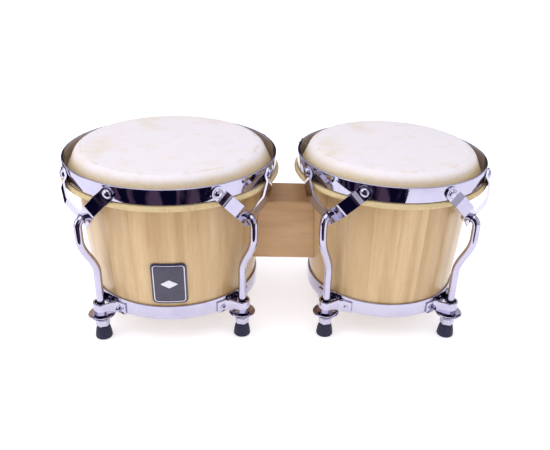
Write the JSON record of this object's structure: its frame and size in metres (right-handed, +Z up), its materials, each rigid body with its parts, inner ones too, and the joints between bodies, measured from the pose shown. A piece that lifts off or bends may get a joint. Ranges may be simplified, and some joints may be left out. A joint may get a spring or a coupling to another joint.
{
  "type": "bongo drums",
  "caption": "Pair of tunable wooden bongo drums joined by a wooden block, with rawhide heads, chromed rims, hooked tuning rods and rubber feet.",
  "frame": {"origin": "centre of the footprint at the feet's undersides", "axes": "+X from the large drum to the small drum, +Y to the back, +Z up"},
  "size_m": [0.4241, 0.2154, 0.1859],
  "materials": {
    "shell_wood": "clear gloss lacquer over pale staves",
    "block_wood": "satin",
    "rawhide": "natural, matt, tan towards the hoop",
    "chrome": "bright chrome plate",
    "steel": "zinc plated",
    "rubber": "moulded, matt",
    "badge": "black enamel with a plain pale border, no text"
  },
  "bodies": {
    "shells_and_block": {"large_shell": "shell_wood", "large_head": "rawhide", "large_bottom_hoop": "chrome", "small_shell": "shell_wood", "small_head": "rawhide", "small_bottom_hoop": "chrome", "centre_block": "block_wood", "badge": "badge", "tie_bolt_lower": "steel", "tie_nut_lower": "steel", "tie_washer_large_lower": "steel", "tie_washer_small_lower": "steel", "tie_bolt_upper": "steel", "tie_nut_upper": "steel", "tie_washer_large_upper": "steel", "tie_washer_small_upper": "steel"},
    "large_rim_assembly": {"large_rim": "chrome", "large_flesh_hoop": "steel", "large_side_plate_front_left": "chrome", "large_tuning_rod_front_left": "chrome", "large_side_plate_front_right": "chrome", "large_tuning_rod_front_right": "chrome", "large_side_plate_back_right": "chrome", "large_tuning_rod_back_right": "chrome", "large_side_plate_back_left": "chrome", "large_tuning_rod_back_left": "chrome"},
    "large_nut_front_left": {"large_tuning_nut_front_left": "chrome", "large_rubber_foot_front_left": "rubber"},
    "large_nut_front_right": {"large_tuning_nut_front_right": "chrome", "large_rubber_foot_front_right": "rubber"},
    "large_nut_back_right": {"large_tuning_nut_back_right": "chrome", "large_rubber_foot_back_right": "rubber"},
    "large_nut_back_left": {"large_tuning_nut_back_left": "chrome", "large_rubber_foot_back_left": "rubber"},
    "small_rim_assembly": {"small_rim": "chrome", "small_flesh_hoop": "steel", "small_side_plate_front_left": "chrome", "small_tuning_rod_front_left": "chrome", "small_side_plate_front_right": "chrome", "small_tuning_rod_front_right": "chrome", "small_side_plate_back_right": "chrome", "small_tuning_rod_back_right": "chrome", "small_side_plate_back_left": "chrome", "small_tuning_rod_back_left": "chrome"},
    "small_nut_front_left": {"small_tuning_nut_front_left": "chrome", "small_rubber_foot_front_left": "rubber"},
    "small_nut_front_right": {"small_tuning_nut_front_right": "chrome", "small_rubber_foot_front_right": "rubber"},
    "small_nut_back_right": {"small_tuning_nut_back_right": "chrome", "small_rubber_foot_back_right": "rubber"},
    "small_nut_back_left": {"small_tuning_nut_back_left": "chrome", "small_rubber_foot_back_left": "rubber"}
  },
  "joints": [
    {"name": "large_tune_front_left", "type": "hinge", "parent": "shells_and_block", "child": "large_nut_front_left", "pos_m": [-0.16971, -0.07341, 0.02], "axis": [0, 0, 1], "range_deg": [-870, 870]},
    {"name": "large_tune_front_right", "type": "hinge", "parent": "shells_and_block", "child": "large_nut_front_right", "pos_m": [-0.03089, -0.06541, 0.02], "axis": [0, 0, 1], "range_deg": [-870, 870]},
    {"name": "large_tune_back_right", "type": "hinge", "parent": "shells_and_block", "child": "large_nut_back_right", "pos_m": [-0.03889, 0.07341, 0.02], "axis": [0, 0, 1], "range_deg": [-870, 870]},
    {"name": "large_tune_back_left", "type": "hinge", "parent": "shells_and_block", "child": "large_nut_back_left", "pos_m": [-0.17771, 0.06541, 0.02], "axis": [0, 0, 1], "range_deg": [-870, 870]},
    {"name": "large_rim_travel", "type": "slide", "parent": "shells_and_block", "child": "large_rim_assembly", "axis": [0, 0, 1], "range_m": [-0.003, 0.003], "deforming": ["large_head"]},
    {"name": "small_tune_front_left", "type": "hinge", "parent": "shells_and_block", "child": "small_nut_front_left", "pos_m": [0.05384, -0.06383, 0.02], "axis": [0, 0, 1], "range_deg": [-870, 870]},
    {"name": "small_tune_front_right", "type": "hinge", "parent": "shells_and_block", "child": "small_nut_front_right", "pos_m": [0.17953, -0.06186, 0.02], "axis": [0, 0, 1], "range_deg": [-870, 870]},
    {"name": "small_tune_back_right", "type": "hinge", "parent": "shells_and_block", "child": "small_nut_back_right", "pos_m": [0.17756, 0.06383, 0.02], "axis": [0, 0, 1], "range_deg": [-870, 870]},
    {"name": "small_tune_back_left", "type": "hinge", "parent": "shells_and_block", "child": "small_nut_back_left", "pos_m": [0.05187, 0.06186, 0.02], "axis": [0, 0, 1], "range_deg": [-870, 870]},
    {"name": "small_rim_travel", "type": "slide", "parent": "shells_and_block", "child": "small_rim_assembly", "axis": [0, 0, 1], "range_m": [-0.003, 0.003], "deforming": ["small_head"]}
  ],
  "couplings": [
    {"joint": "large_tune_front_left", "follows": "large_rim_travel", "rad_per_m": -5026.5},
    {"joint": "large_tune_front_right", "follows": "large_rim_travel", "rad_per_m": -5026.5},
    {"joint": "large_tune_back_right", "follows": "large_rim_travel", "rad_per_m": -5026.5},
    {"joint": "large_tune_back_left", "follows": "large_rim_travel", "rad_per_m": -5026.5},
    {"joint": "small_tune_front_left", "follows": "small_rim_travel", "rad_per_m": -5026.5},
    {"joint": "small_tune_front_right", "follows": "small_rim_travel", "rad_per_m": -5026.5},
    {"joint": "small_tune_back_right", "follows": "small_rim_travel", "rad_per_m": -5026.5},
    {"joint": "small_tune_back_left", "follows": "small_rim_travel", "rad_per_m": -5026.5}
  ]
}
